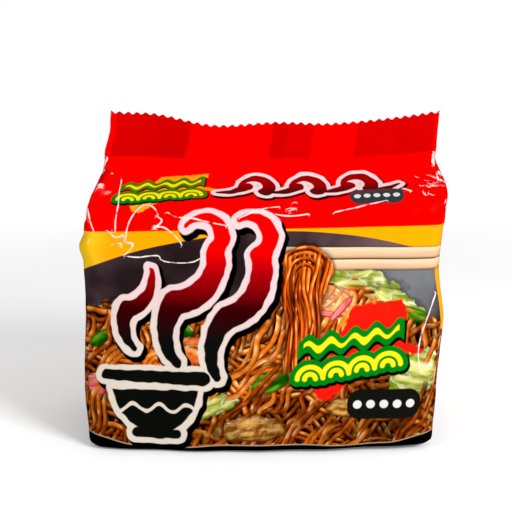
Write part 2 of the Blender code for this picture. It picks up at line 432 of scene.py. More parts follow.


# %% [markdown]
# ## Creases
#
# Film this thin folds sharply where the bag is pulled in under the fin. Each crease is a run of
# short folds, rounded off and raised in the mesh. The mesh also carries, for the material, how far
# each vertex is from the nearest crease, so that a pale line is painted along it: partly the
# whitening that a sharp fold leaves in printed film, and partly a painted highlight in place of
# the glint that a crease catches.

# %% Crease lines, in the print's millimetres
CREASES = (
    ((-84, 168), (-81.5, 150), (-80, 139), (-80, 124)),
    ((-75, 116), (-74, 124), (-71.5, 132), (-67, 139), (-63, 139), (-59.5, 135.5), (-57.5, 132)),
    ((-58, 131.5), (-54.5, 129.5), (-58, 126.5), (-59.5, 125)),
    ((-59, 126), (-54, 126.5), (-48, 122), (-43, 117)),
    ((-80, 117), (-70, 118.5), (-68.5, 115), (-73.5, 111)),
    ((-73.5, 111), (-66, 110), (-60, 111), (-54, 111.5), (-54, 108.5), (-46, 107.5), (-36, 108), (-31, 111)),
    ((-53, 134), (-48, 131), (-40, 131), (-32, 129), (-21, 127)),
    ((-8, 135), (0, 134), (12, 131.5), (22, 133)),
    ((-14, 131), (-2, 137), (6, 138)),
    ((-97, 138), (-94, 130), (-91, 122)),
    ((-84, 124), (-80, 120), (-76, 122)),
    ((96, 179), (94, 168), (93, 157)),
    ((89, 164), (93, 160), (96, 155)),
    ((36, 134), (48, 137), (64, 141)),
    ((95, 90), (91, 83), (86, 71), (84.5, 62), (85, 54), (88, 46)),
)
# Creases whose pale line is painted wider: broad painted highlights over ordinary raised folds.
BROAD_GLINT_CREASES = (
    ((-95, 181), (-97.5, 173), (-95, 168.5), (-90.5, 171)),
    ((73.5, 151), (77, 148)),
    ((95.5, 181), (94, 173), (95.5, 165)),
)
CREASE_HEIGHT, CREASE_WIDTH = 0.35, 1.1
SMALL_CREASES = ((90, 162, 5), (86, 149, 8), (8, 137, 4))


def rounded(line, rounds=2):
    """The line with its corners cut off, twice over."""
    line = [np.array(spot, float) for spot in line]
    for _ in range(rounds):
        cut = [line[0]]
        for start, end in zip(line, line[1:]):
            cut += [start * 0.75 + end * 0.25, start * 0.25 + end * 0.75]
        line = cut + [line[-1]]
    return line


def small_creases(chances):
    """Short straight flecks in loose clusters. Those of one cluster lean much the same way."""
    for across, up, count in SMALL_CREASES:
        lean = chances.uniform(0, math.pi)
        for _ in range(count):
            start = np.array([chances.gauss(across, 5.0), chances.gauss(up, 5.5)])
            heading, reach = lean + chances.gauss(0, 0.35), chances.uniform(0.8, 2.8)
            end = start + reach * np.array([math.cos(heading), math.sin(heading)])
            yield [start, end], chances.uniform(0.4, 1.3)


def crease_fields(across, up):
    """The signed and plain distance to the nearest crease, and that crease's strength."""
    signed, near, strength = np.full(up.shape, 9.0), np.full(up.shape, 9.0), np.ones(up.shape)
    lines = [(rounded(line), 1.0) for line in CREASES] + [(rounded(line), 2.4) for line in BROAD_GLINT_CREASES]
    lines += list(small_creases(random.Random(5)))
    for line, power in lines:
        for start, end in zip(line, line[1:]):
            run = end - start
            share = ((across - start[0]) * run[0] + (up - start[1]) * run[1]) / (run @ run)
            gap = np.hypot(across - start[0] - share * run[0], up - start[1] - share * run[1])
            inside = np.clip(share, 0.0, 1.0)
            far = np.hypot(across - start[0] - inside * run[0], up - start[1] - inside * run[1])
            side = np.where((up - start[1]) * run[0] > (across - start[0]) * run[1], gap, -gap)
            side = np.where(far > gap + 0.3, far, side)
            nearer = far < near
            signed, near = np.where(nearer, side, signed), np.where(nearer, far, near)
            strength = np.where(nearer, power, strength)
    return signed, near, strength


def crumple(points, across, up):
    """Soft dents everywhere, deeper by the corners and edges, as a field over the web."""
    field = np.zeros(up.shape)
    edge = (
        np.exp(-(((np.abs(across) - HALF_WIDTH) / 14.0) ** 2))
        + np.exp(-(((np.abs(across) - QUARTER) / 14.0) ** 2))
    )
    shoulder = smooth(up, 100.0, 128.0) * (1 - smooth(up, SEAL_MEASURE - 12, SEAL_MEASURE - 2))
    depth = 0.18 + 0.55 * np.clip(edge, 0, 1) * (0.4 + 0.6 * shoulder) + 0.25 * shoulder
    depth = depth * smooth(up, 1.0, 8.0) * (1 - smooth(up, SEAL_MEASURE - 6, SEAL_MEASURE))
    for row, column in np.argwhere(depth > 0.01):
        spot = Vector(points[row, column]) / 17.0
        field[row, column] = noise.noise(spot) + 0.45 * noise.noise(spot * 2.6)
    return field * depth


def outward(points):
    """The outward direction at each point of the web."""
    normal = np.cross(np.gradient(points, axis=1), np.gradient(points, axis=0))
    return normal / np.maximum(np.linalg.norm(normal, axis=-1, keepdims=True), 1e-9)


ACROSS = np.broadcast_to(COLUMNS[None, :, 2], UP.shape)
CREASE = np.stack(crease_fields(ACROSS, UP), axis=-1)
lift = CREASE_HEIGHT * np.minimum(CREASE[..., 2], 1.0) * np.exp(-((CREASE[..., 1] / CREASE_WIDTH) ** 2))
lift = lift * (1 - smooth(UP, SEAL_MEASURE - 4, SEAL_MEASURE)) + crumple(web, ACROSS, UP)
web = web + outward(web) * lift[..., None]
print("the folds lift the film by up to", round(float(lift.max()), 2), "mm")

# %% Make the mesh
BAKE_FRONT, BAKE_REST = 0.0028, 0.0023


def film_mesh(points):
    """The folded web as a closed mesh, with its print map and a map that nothing overlaps on."""
    shape = bmesh.new()
    rows, columns = points.shape[:2]
    bmesh.ops.create_grid(shape, x_segments=columns - 1, y_segments=rows - 1, size=1.0)
    print_map = shape.loops.layers.uv.new("print")
    bake_map = shape.loops.layers.uv.new("OFBake")
    crease = shape.verts.layers.float_vector.new("crease")
    spots = {}
    for vertex in shape.verts:
        column = round((vertex.co.x + 1) / 2 * (columns - 1))
        row = round((vertex.co.y + 1) / 2 * (rows - 1))
        spots[vertex] = (row, column)
        vertex.co = points[row, column] * MM
        vertex[crease] = CREASE[row, column]
    for face in shape.faces:
        first = min(spots[loop.vert][1] for loop in face.loops)
        on_front = COLUMNS[first + 1, 0] == FRONT
        for loop in face.loops:
            row, column = spots[loop.vert]
            across, up = COLUMNS[column, 2], ROWS[row, 2]
            loop[print_map].uv = (across, UP[row, column])
            if on_front:
                loop[bake_map].uv = (0.01 + (across + HALF_WIDTH) * BAKE_FRONT, 0.36 + (up + 5) * BAKE_FRONT)
            else:
                shelf = 0.5 if across > 0 else 0.0
                start = abs(across) - HALF_WIDTH
                loop[bake_map].uv = (0.56 + start * BAKE_REST, 0.01 + shelf + (up + 5) * BAKE_REST)
    bmesh.ops.remove_doubles(shape, verts=shape.verts, dist=1e-6)
    rim = [edge for edge in shape.edges if edge.is_boundary]
    base = bmesh.ops.contextual_create(shape, geom=rim)["faces"]
    for face in base:
        for loop in face.loops:
            x, y = loop.vert.co.x / MM, loop.vert.co.y / MM
            loop[print_map].uv = (x, -20 + y / 10)
            loop[bake_map].uv = (0.3 + x * BAKE_FRONT, 0.18 + y * BAKE_FRONT)
    bmesh.ops.recalc_face_normals(shape, faces=shape.faces)
    for face in shape.faces:
        face.smooth = True
    mesh = bpy.data.meshes.new("printed_film")
    shape.to_mesh(mesh)
    shape.free()
    return mesh, len(rim)


film_shape, base_edges = film_mesh(web)
film = bpy.data.objects.new("printed_film", film_shape)
scene.collection.objects.link(film)
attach(film, "root")
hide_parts("film_pack")
print(len(film_shape.polygons), "faces;", base_edges, "edges round the base")

# %% [markdown]
# ## A small language for node trees
#
# The print has hundreds of little shapes, and each is a sum of Math nodes. Wiring them by hand
# would hide what they draw, so a `Value` stands for the output of a node, and ordinary arithmetic
# on it adds the nodes and links. Each effect is built once, as a node group with named inputs and
# outputs, and is placed wherever the print needs it.

# %% Values that build nodes
WAIT = 1e-9  # so small a share that it moves nothing


class Value:
    """A number, colour or vector that a node tree works out at each point of the surface."""

    def __init__(self, socket):
        self.socket = socket
        self.tree = socket.id_data

    def __add__(self, other):
        return work("ADD", self, other)

    def __sub__(self, other):
        return work("SUBTRACT", self, other)

    def __mul__(self, other):
        return work("MULTIPLY", self, other)

    def __truediv__(self, other):
        return work("DIVIDE", self, other)

    def __neg__(self):
        return work("MULTIPLY", self, -1.0)

    def __radd__(self, other):
        return work("ADD", self, other)

    def __rmul__(self, other):
        return work("MULTIPLY", self, other)

    def __rsub__(self, other):
        return work("SUBTRACT", other, self)

    def __pow__(self, other):
        return work("POWER", self, other)


def feed(target, source):
    """Plugs a value into a socket, or writes a plain number or colour there."""
    if isinstance(source, Value):
        target.id_data.links.new(source.socket, target)
    elif hasattr(target.default_value, "__len__") and len(source) < len(target.default_value):
        target.default_value = (*source, *[0.0] * (len(target.default_value) - 1 - len(source)), 1.0)
    else:
        target.default_value = source


def tree_of(terms):
    return next(term.tree for term in terms if isinstance(term, Value))


def work(operation, *terms, clamp=False):
    """One Math node."""
    made = tree_of(terms).nodes.new("ShaderNodeMath")
    made.operation = operation
    made.use_clamp = clamp
    for target, term in zip(made.inputs, terms):
        feed(target, term)
    return Value(made.outputs[0])


def lowest(*terms):
    found = terms[0]
    for term in terms[1:]:
        found = work("MINIMUM", found, term)
    return found


def highest(*terms):
    found = terms[0]
    for term in terms[1:]:
        found = work("MAXIMUM", found, term)
    return found


def step(value, low, high):
    """0 at low, 1 at high, and smooth between; it runs down where low is above high."""
    made = tree_of([value, low, high]).nodes.new("ShaderNodeMapRange")
    made.interpolation_type = "SMOOTHSTEP"
    for name, term in (("Value", value), ("From Min", low), ("From Max", high)):
        feed(made.inputs[name], term)
    return Value(made.outputs[0])


def vector(operation, *terms, scale=None):
    """One Vector Math node."""
    made = tree_of([*terms, scale]).nodes.new("ShaderNodeVectorMath")
    made.operation = operation
    for target, term in zip(made.inputs, terms):
        feed(target, term)
    if scale is not None:
        feed(made.inputs["Scale"], scale)
    return Value(made.outputs["Value" if operation in ("LENGTH", "DOT_PRODUCT", "DISTANCE") else "Vector"])


def pair(x, y, z=0.0):
    made = tree_of([x, y, z]).nodes.new("ShaderNodeCombineXYZ")
    for target, term in zip(made.inputs, (x, y, z)):
        feed(target, term)
    return Value(made.outputs[0])


def parts(point):
    made = point.tree.nodes.new("ShaderNodeSeparateXYZ")
    feed(made.inputs[0], point)
    return [Value(output) for output in made.outputs]


def cloud(point, size, seed=0.0, detail=0.0, colour=False):
    """Noise whose lumps are about this many millimetres across."""
    made = tree_of([point]).nodes.new("ShaderNodeTexNoise")
    if seed:
        made.noise_dimensions = "4D"
        feed(made.inputs["W"], seed)
    feed(made.inputs["Vector"], point)
    feed(made.inputs["Scale"], 1.0 / size)
    feed(made.inputs["Detail"], detail)
    return Value(made.outputs[1 if colour else 0])


def chance(point):
    """A number from 0 to 1 that jumps from one whole place to the next."""
    made = tree_of([point]).nodes.new("ShaderNodeTexWhiteNoise")
    made.noise_dimensions = "3D"
    feed(made.inputs["Vector"], point)
    return Value(made.outputs["Value"])


def mixed(share, below, above):
    """The colour above laid on the colour below."""
    made = tree_of([share, below, above]).nodes.new("ShaderNodeMix")
    made.data_type = "RGBA"
    feed(made.inputs[0], share)
    feed(made.inputs[6], below)
    feed(made.inputs[7], above)
    return Value(made.outputs[2])


def ramp(share, *stops):
    """A colour ramp through (place, colour) stops."""
    made = share.tree.nodes.new("ShaderNodeValToRGB")
    feed(made.inputs[0], share)
    points = made.color_ramp.elements
    while len(points) < len(stops):
        points.new(0.5)
    for point, (place, colour) in zip(points, stops):
        point.position = place
        point.color = (*colour, 1.0)
    return Value(made.outputs[0])


def after(picture, point):
    """The same point, worked out only once the picture so far is done.

    The renderer has room for 255 numbers at a time. Left to itself it would start every shape
    at once and run out, so each layer of the print waits for the one below it.
    """
    return vector("MULTIPLY_ADD", picture, (WAIT, WAIT, WAIT), point)


def srgb(red, green, blue):
    """A colour named by its screen values, 0 to 255, as the linear light that shaders use."""
    return tuple(
        ((c / 255 + 0.055) / 1.055) ** 2.4 if c > 10 else c / 255 / 12.92
        for c in (red, green, blue)
    )


# %% Groups

KINDS = {"point": "NodeSocketVector", "colour": "NodeSocketColor", "number": "NodeSocketFloat"}


def new_group(name, inputs, outputs):
    """An empty node group, its inputs as values by name, and a function that feeds its outputs."""
    tree = bpy.data.node_groups.new(name, "ShaderNodeTree")
    for direction, sockets in (("INPUT", inputs), ("OUTPUT", outputs)):
        for label, kind in sockets.items():
            tree.interface.new_socket(name=label, in_out=direction, socket_type=KINDS[kind])
    start = tree.nodes.new("NodeGroupInput")
    end = tree.nodes.new("NodeGroupOutput")

    def give(**found):
        for label, value in found.items():
            feed(end.inputs[label], value)
        print(f"group {name}: {len(tree.nodes)} nodes")
        return tree

    return {label: Value(start.outputs[label]) for label in inputs}, give


def use(group, **given):
    """Places a group, and returns its outputs as values by name."""
    tree = tree_of(given.values())
    made = tree.nodes.new("ShaderNodeGroup")
    made.node_tree = group
    for label, value in given.items():
        feed(made.inputs[label], value)
    return {output.name: Value(output) for output in made.outputs}


# %% Distances to drawn shapes, in millimetres: below zero inside


def stroke(point, start, end, width_start, width_end=None):
    """A straight brush stroke with round ends, which may taper."""
    run = Vector(end) - Vector(start)
    away = vector("SUBTRACT", point, (*start, 0.0))
    share = vector("DOT_PRODUCT", away, (*(run / run.length_squared), 0.0))
    share = work("MULTIPLY", share, 1.0, clamp=True)
    nearest = vector("SCALE", (*run, 0.0), scale=share)
    gap = vector("DISTANCE", away, nearest)
    if width_end is None:
        return gap - width_start
    return gap - (width_start + (width_end - width_start) * share)


def arc(point, centre, radius, start, turn, width_start, width_end):
    """A curved brush stroke: degrees of its start and of how far it turns, and its half widths."""
    away = vector("SUBTRACT", point, (*centre, 0.0))
    x, y, _ = parts(away)
    middle = math.radians(start + turn / 2)
    along_x = x * math.cos(middle) + y * math.sin(middle)
    along_y = y * math.cos(middle) - x * math.sin(middle)
    angle = work("ARCTAN2", along_y, along_x)
    share = work("MULTIPLY_ADD", angle, 1 / math.radians(turn), 0.5, clamp=True)
    angle = math.radians(start) + math.radians(turn) * share
    spot = pair(radius * work("COSINE", angle), radius * work("SINE", angle))
    return vector("DISTANCE", away, spot) - (width_start + (width_end - width_start) * share)


def bow(point, start, end, turn, width_start, width_end):
    """A curved brush stroke between two places, which turns left by so many degrees on its way."""
    start, end = Vector(start), Vector(end)
    half_chord, bend = (end - start).length / 2, math.radians(turn / 2)
    to_left = Vector((start.y - end.y, end.x - start.x)).normalized()
    centre = (start + end) / 2 + to_left * (half_chord / math.tan(bend))
    first = math.degrees(math.atan2(start.y - centre.y, start.x - centre.x))
    return arc(point, tuple(centre), half_chord / abs(math.sin(bend)), first, turn, width_start, width_end)


def oval(point, centre, half_width, half_height, turn=0.0):
    """About how far outside an ellipse."""
    x, y, _ = parts(vector("SUBTRACT", point, (*centre, 0.0)))
    cosine, sine = math.cos(math.radians(turn)), math.sin(math.radians(turn))
    across = (x * cosine + y * sine) / half_width
    up = (y * cosine - x * sine) / half_height
    return (vector("LENGTH", pair(across, up)) - 1.0) * min(half_width, half_height)


def box(point, centre, half_width, half_height, corner=0.0, turn=0.0):
    """A rectangle with rounded corners."""
    x, y, _ = parts(vector("SUBTRACT", point, (*centre, 0.0)))
    cosine, sine = math.cos(math.radians(turn)), math.sin(math.radians(turn))
    across = work("ABSOLUTE", x * cosine + y * sine) - (half_width - corner)
    up = work("ABSOLUTE", y * cosine - x * sine) - (half_height - corner)
    outside = vector("LENGTH", pair(highest(across, 0.0), highest(up, 0.0)))
    return outside + lowest(highest(across, up), 0.0) - corner

# %% [markdown]
# ## The picture of the dish
#
# Noodles in a pan are lanes that bend, cross and dive under each other. A lane is a stripe of a
# striped pattern, so a cloud of noise bends the stripes, each stripe takes its own tint, width and
# ends from its number, and five such layers at different angles make the tangle.

# %% Noodle strands


BEND = 36.0  # how far apart the bends of a strand are, in millimetres
NUDGE = 1.0


def strands_group():
    given, give = new_group(
        "noodle_strands",
        {"Point": "point", "Turn": "number", "Width": "number", "Wander": "number", "Seed": "number",
         "Cover": "number"},
        {"Color": "colour", "Mask": "number", "Shade": "number"},
    )
    seed, width, wander = given["Seed"], given["Width"], given["Wander"]
    turned = seed.tree.nodes.new("ShaderNodeVectorRotate")
    turned.rotation_type = "Z_AXIS"
    feed(turned.inputs["Vector"], given["Point"])
    feed(turned.inputs["Angle"], given["Turn"])
    run, across, _ = parts(Value(turned.outputs[0]))

    def lane_height(step_run, step_across):
        bend = cloud(pair((run + step_run) / BEND, (across + step_across) / BEND, seed), 1.0, detail=1.0)
        return across + step_across + wander * (bend - 0.5)

    here = lane_height(0.0, 0.0)
    slope_run = (lane_height(NUDGE, 0.0) - here) / NUDGE
    slope_across = (lane_height(0.0, NUDGE) - here) / NUDGE
    steepness = highest(vector("LENGTH", pair(slope_run, slope_across)), 0.25)
    lane = here / (width * 1.25)
    number = work("FLOOR", lane)
    tint = chance(pair(number, seed))
    off = (lane - number - 0.5 + 0.24 * (tint - 0.5)) * 1.25 / steepness * 2.0
    from_middle = work("ABSOLUTE", off) / (0.86 + 0.2 * tint)
    there = cloud(pair(run / 58.0, number * 0.8, seed), 1.0, detail=1.0)
    showing = step(there, given["Cover"] - 0.03, given["Cover"] + 0.03)
    facing = (
        slope_run * work("SINE", given["Turn"]) + slope_across * work("COSINE", given["Turn"])
    ) / steepness
    height = work("SQRT", highest(1.0 - from_middle * from_middle, 0.0))
    grain = cloud(pair(run / 7.0, number * 1.9, seed + 2.0), 1.0, detail=1.0)
    light = height * 0.42 + off * facing * 0.34 + 0.12 + 0.34 * (tint - 0.5) + 0.7 * (grain - 0.5)
    colour = ramp(
        light, (0.0, srgb(22, 8, 3)), (0.22, srgb(90, 32, 6)), (0.45, srgb(168, 71, 10)),
        (0.66, srgb(226, 118, 26)), (1.0, srgb(255, 190, 88)),
    )
    glint = step(grain, 0.50, 0.64) * step(work("ABSOLUTE", off * facing - 0.30), 0.34, 0.04)
    colour = mixed(glint * 0.8, colour, srgb(255, 220, 150))
    mask = step(from_middle, 1.0, 0.88) * showing
    shade = step(from_middle, 1.9, 0.9) * showing
    return give(Color=colour, Mask=mask, Shade=shade)


STRANDS = strands_group()


def lay_strands(picture, point, turn, width, wander, seed, cover, within=1.0, gloom=0.72):
    """One layer of noodles, with its shadow, over the picture so far."""
    point = after(picture, point)
    found = use(STRANDS, Point=point, Turn=math.radians(turn), Width=width, Wander=wander,
                Seed=seed, Cover=cover)
    shaded = mixed(found["Shade"] * within * gloom, picture, srgb(28, 12, 8))
    return mixed(found["Mask"] * within, shaded, found["Color"])


# %% Toppings


def topping_group():
    given, give = new_group(
        "topping",
        {"Point": "point", "Place": "point", "Size": "point", "Turn": "number", "Seed": "number",
         "Ragged": "number", "Stretch": "number", "Weave": "number", "Vein": "number",
         "Light": "colour", "Dark": "colour", "Rim": "colour"},
        {"Color": "colour", "Mask": "number", "Shade": "number"},
    )
    away = vector("SUBTRACT", given["Point"], given["Place"])
    turned = away.tree.nodes.new("ShaderNodeVectorRotate")
    turned.rotation_type = "Z_AXIS"
    feed(turned.inputs["Vector"], away)
    feed(turned.inputs["Angle"], given["Turn"])
    spot = vector("DIVIDE", Value(turned.outputs[0]), given["Size"])
    edge = cloud(given["Point"], 9.0, given["Seed"], detail=2.0) - 0.5
    distance = vector("LENGTH", spot) - 1.0 + edge * given["Ragged"]
    x, y, _ = parts(spot)
    seed = given["Seed"] + 3.0
    run, weave, _ = parts(Value(turned.outputs[0]))
    folds = cloud(pair(run * given["Stretch"], weave * given["Weave"]), 7.0, seed, detail=1.6)
    beside = cloud(pair(run * given["Stretch"] - 0.4, weave * given["Weave"] + 1.0), 7.0, seed, detail=1.6)
    relief = 0.5 + 4.0 * (folds - beside) + 0.20 * y
    colour = mixed(step(relief + 0.9 * (folds - 0.5), 0.15, 0.85), given["Dark"], given["Light"])
    colour = mixed(step(distance, -0.30, 0.0) * 0.75, colour, given["Rim"])
    vein = step(work("ABSOLUTE", folds - 0.47), 0.030, 0.006)
    colour = mixed(vein * given["Vein"], colour, srgb(255, 252, 226))
    colour = mixed(step(relief, 0.86, 0.98) * 0.75, colour, srgb(255, 244, 214))
    return give(Color=colour, Mask=step(distance, 0.03, -0.03), Shade=step(distance, 0.3, -0.1))


TOPPING = topping_group()
CABBAGE = dict(Light=srgb(226, 218, 132), Dark=srgb(128, 150, 30), Rim=srgb(96, 130, 18),
               Stretch=0.45, Weave=1.1, Ragged=1.3, Vein=0.4)
LEAF = dict(Light=srgb(96, 158, 22), Dark=srgb(14, 74, 6), Rim=srgb(12, 48, 4),
            Stretch=0.5, Weave=0.9, Ragged=0.5, Vein=0.0)
PORK = dict(Light=srgb(230, 172, 92), Dark=srgb(136, 74, 16), Rim=srgb(84, 38, 8),
            Stretch=0.9, Weave=1.3, Ragged=1.2, Vein=0.0)
GINGER = dict(Light=srgb(250, 150, 140), Dark=srgb(222, 66, 74), Rim=srgb(170, 40, 46),
              Stretch=0.5, Weave=2.6, Ragged=0.5, Vein=0.0)
CARROT = dict(Light=srgb(250, 166, 88), Dark=srgb(222, 96, 34), Rim=srgb(150, 54, 14),
              Stretch=0.8, Weave=1.0, Ragged=0.7, Vein=0.0)


def lay_topping(picture, point, food, place, size, turn, seed):
    point = after(picture, point)
    found = use(TOPPING, Point=point, Place=(*place, 0.0), Size=(*size, 1.0), Turn=math.radians(-turn),
                Seed=seed, **food)
    shaded = mixed(found["Shade"] * 0.7, picture, srgb(26, 11, 7))
    return mixed(found["Mask"], shaded, found["Color"])


# %% The whole dish
UNDER_DISH = ((CABBAGE, (55, 97), (20, 7), -10, 1.0), (CABBAGE, (70, 86), (16, 8), -24, 2.0),
              (LEAF, (80, 79), (9, 4), -20, 3.0), (CARROT, (-38, 62), (9, 5), 12, 6.0))
ON_DISH = ((CABBAGE, (-30, 27), (15, 6.5), 14, 11.0), (CABBAGE, (85, 44), (13, 16), -20, 12.0),
           (PORK, (-6, 15), (21, 8), 5, 13.0), (PORK, (46, 27), (11, 5), -8, 14.0),
           (LEAF, (5, 42), (11, 5.5), 20, 15.0), (LEAF, (-87, 66), (9, 4), 26, 16.0),
           (GINGER, (-91, 39), (6, 7), 10, 17.0), (LEAF, (-46, 72), (8, 4), -24, 18.0),
           (CARROT, (-40, 57), (8, 5), -16, 19.0), (PORK, (-70, 30), (14, 6), -14, 20.0))
STRIPS = ((GINGER, (35, 80), (7, 1.7), -10, 5.0), (GINGER, (42, 83), (9, 2.0), 44, 4.0))


def dish_group():
    given, give = new_group("dish", {"Point": "point"}, {"Color": "colour"})
    point = given["Point"]
    x, y, _ = parts(point)
    smoke = cloud(point, 42.0, 1.0, detail=3.0)
    dark = mixed(step(smoke, 0.35, 0.75), srgb(40, 29, 30), srgb(94, 74, 80))
    haze = step(x, 15.0, 80.0) * step(y, 60.0, 96.0) * step(smoke, 0.25, 0.62)
    fog = mixed(step(y, 104.0, 110.0), srgb(124, 126, 132), srgb(116, 90, 92))
    picture = mixed(haze * 0.9, dark, fog)
    far = highest(x - 50.0, 0.0)
    ground = 84.0 - 0.004 * far * far + 9.0 * (cloud(point, 16.0, 4.0) - 0.5)
    ground = ground + 15.0 * step(work("ABSOLUTE", x - 42.0), 32.0, 8.0)

    def heap(point, drop, seed):
        ragged = 14.0 * (cloud(point, 7.0, seed) - 0.5)
        return step(y - ground + drop + ragged, 1.0, -1.0)

    floor = heap(point, 3.0, 2.0)
    picture = mixed(floor, picture, srgb(36, 16, 9))
    picture = lay_strands(picture, point, 62, 3.0, 26.0, 11.0, 0.34, heap(point, 1.0, 3.0))
    picture = lay_strands(picture, point, -38, 3.2, 32.0, 23.0, 0.42, heap(point, -1.0, 5.0))
    picture = mixed(floor * 0.45, picture, srgb(24, 8, 3))
    for food, place, size, turn, seed in UNDER_DISH:
        picture = lay_topping(picture, point, food, place, size, turn, seed)
    picture = lay_strands(picture, point, 14, 3.3, 34.0, 37.0, 0.50, heap(point, 2.0, 7.0))
    picture = lay_strands(picture, point, 112, 3.0, 36.0, 41.0, 0.51, heap(point, 5.0, 8.0))
    pale = step(oval(point, (38, 87), 12.0, 9.0) + 4.0 * (cloud(point, 6.0, 14.0) - 0.5), 0.8, -0.8)
    picture = mixed(pale * 0.8, picture, srgb(172, 98, 52))
    picture = lay_strands(picture, point, 34, 2.6, 26.0, 83.0, 0.34, pale, 0.4)
    picture = lay_strands(picture, point, -24, 2.5, 30.0, 89.0, 0.46, pale, 0.4)
    for food, place, size, turn, seed in ON_DISH:
        picture = lay_topping(picture, point, food, place, size, turn, seed)
    picture = lay_strands(picture, point, -64, 3.2, 38.0, 53.0, 0.57, heap(point, 9.0, 9.0))
    lit = cloud(after(picture, point), 19.0, 6.0, detail=1.0)
    glow = 0.42 + 1.25 * lit - 0.34 * step(y, 40.0, 8.0) - 0.22 * step(x, -60.0, -98.0)
    glow = glow - 0.22 * step(x, 40.0, 84.0) * step(y, 60.0, 40.0)
    glow = glow + 0.9 * step(oval(point, (39, 84), 14.0, 12.0), 5.0, -7.0)
    picture = mixed(step(y - ground, 8.0, 2.0), picture, vector("SCALE", picture, scale=highest(glow, 0.2)))
    picture = mixed(pale * 0.42, picture, srgb(246, 184, 134))
    for food, place, size, turn, seed in STRIPS:
        picture = lay_topping(picture, point, food, place, size, turn, seed)
    return give(Color=picture)


DISH = dish_group()

# %% [markdown]
# The lifted noodles hang over two chopsticks like hairpins. The distance from an upright line
# gives just such lanes: straight below the line's top end, and round above it.

# %% Chopsticks and the lifted bundle


def lifted_group():
    given, give = new_group("lifted_noodles", {"Point": "point", "Under": "colour"}, {"Color": "colour"})
    point, picture = given["Point"], given["Under"]
    x, y, _ = parts(point)
    slope = y + 0.008 * (x - 50.0)
    for middle, half in ((112.9, 2.9), (106.7, 2.65)):
        bar = highest(work("ABSOLUTE", slope - middle) - half, 10.0 - x, x - 106.0)
        wood = ramp(
            (slope - middle) / (2 * half) + 0.5, (0.0, srgb(180, 134, 92)), (0.2, srgb(222, 180, 138)),
            (0.6, srgb(240, 204, 164)), (1.0, srgb(248, 220, 184)),
        )
        streak = cloud(pair(x / 40.0, slope / 1.2), 1.0, 3.0)
        wood = mixed(step(streak, 0.45, 0.7) * 0.3, wood, srgb(214, 168, 118))
        picture = mixed(step(bar, 1.3, 0.0) * 0.5, picture, srgb(34, 20, 16))
        picture = mixed(step(bar, 0.25, -0.25), picture, wood)
    x, y, _ = parts(after(picture, point))
    middle = 21.2 + 2.6 * step(y, 90.0, 107.0)
    above = highest(y - 102.0, 0.0)
    sway = 2.0 * (cloud(pair(x / 9.0, y / 30.0), 1.0, 8.0) - 0.5)
    from_line = vector("LENGTH", pair(x - middle + sway, above))
    reach = 9.2 + 5.6 * step(y, 76.0, 104.0) + 3.0 * (cloud(pair(x / 4.0, y / 22.0), 1.0, 9.0) - 0.5)
    inside = from_line - reach
    low = step(y + 16.0 * (cloud(pair(x / 5.0, y / 40.0), 1.0, 12.0) - 0.5), 44.0, 56.0)
    picture = mixed(step(inside, 3.0, -0.5) * low * 0.8, picture, srgb(30, 10, 5))
    within = step(inside, 0.4, -0.4) * low
    hairpin = pair(x * 0.8 + y * 0.4, from_line)
    fall = pair(y, x - middle + 0.12 * (x - middle) * step(y, 96.0, 70.0))
    picture = mixed(within, picture, srgb(84, 30, 8))
    over = step(y, 116.0, 108.0) * within
    picture = lay_strands(picture, hairpin, 3.0, 2.2, 5.0, 61.0, 0.36, within)
    picture = lay_strands(picture, fall, 5.0, 2.1, 7.0, 67.0, 0.38, over)
    picture = mixed(within * 0.2, picture, srgb(60, 20, 5))
    picture = lay_strands(picture, hairpin, -3.0, 2.3, 6.0, 71.0, 0.48, within)
    picture = lay_strands(picture, fall, -7.0, 2.2, 8.0, 79.0, 0.54, over)
    rounded = step(from_line / reach, 0.55, 1.0)
    picture = mixed(within * rounded * 0.4, picture, srgb(70, 22, 6))
    warmth = mixed(step(y, 74.0, 110.0), (1.4, 0.9, 0.6), (1.9, 1.5, 1.05))
    picture = mixed(within, picture, vector("MULTIPLY", picture, warmth))
    return give(Color=picture)


LIFTED = lifted_group()

# %% [markdown]
# ## Motifs in place of the lettering
#
# The lettering of such a pack isn't copied. Its place holds plain drawings of the same weight
# and colours: a bowl with steam over it, in thick brush strokes with a pale outline and a black
# shadow; a banner of wave scales; and a dark pill with five dots, one for each portion.

# %% Steaming bowl


def motif_group():
    given, give = new_group("steaming_bowl", {"Point": "point"}, {"Distance": "number"})
    wobble = vector("SUBTRACT", cloud(given["Point"], 5.0, colour=True), (0.5, 0.5, 0.5))
    point = vector("ADD", given["Point"], vector("SCALE", wobble, scale=1.6))
    x, y, _ = parts(point)
    body = highest(oval(point, (-58, 41), 24.0, 29.0), y - 37.0)
    wave = work("ABSOLUTE", y - 26.5 - 2.2 * work("SINE", x * 0.42)) - 1.1
    bowl = lowest(
        highest(body, -wave),
        stroke(point, (-69, 12), (-47, 11.5), 3.2, 2.8),
        stroke(point, (-85, 45), (-32, 43.5), 2.8, 4.0),
    )
    steam = lowest(
        bow(point, (-70, 60), (-74, 82), -80, 1.6, 5.0),
        bow(point, (-74, 82), (-60, 104), 90, 5.0, 1.0),
        bow(point, (-46, 52), (-48, 86), -84, 2.4, 6.6),
        bow(point, (-48, 86), (-24, 116), 92, 6.6, 5.0),
        bow(point, (-24, 116), (-42, 127), 170, 5.0, 1.4),
        bow(point, (-24, 44), (-20, 78), -76, 2.2, 6.2),
        bow(point, (-20, 78), (0, 112), 84, 6.2, 5.6),
        bow(point, (0, 112), (-14, 130), 160, 5.6, 1.6),
    )
    return give(Distance=lowest(bowl, steam))


MOTIF = motif_group()


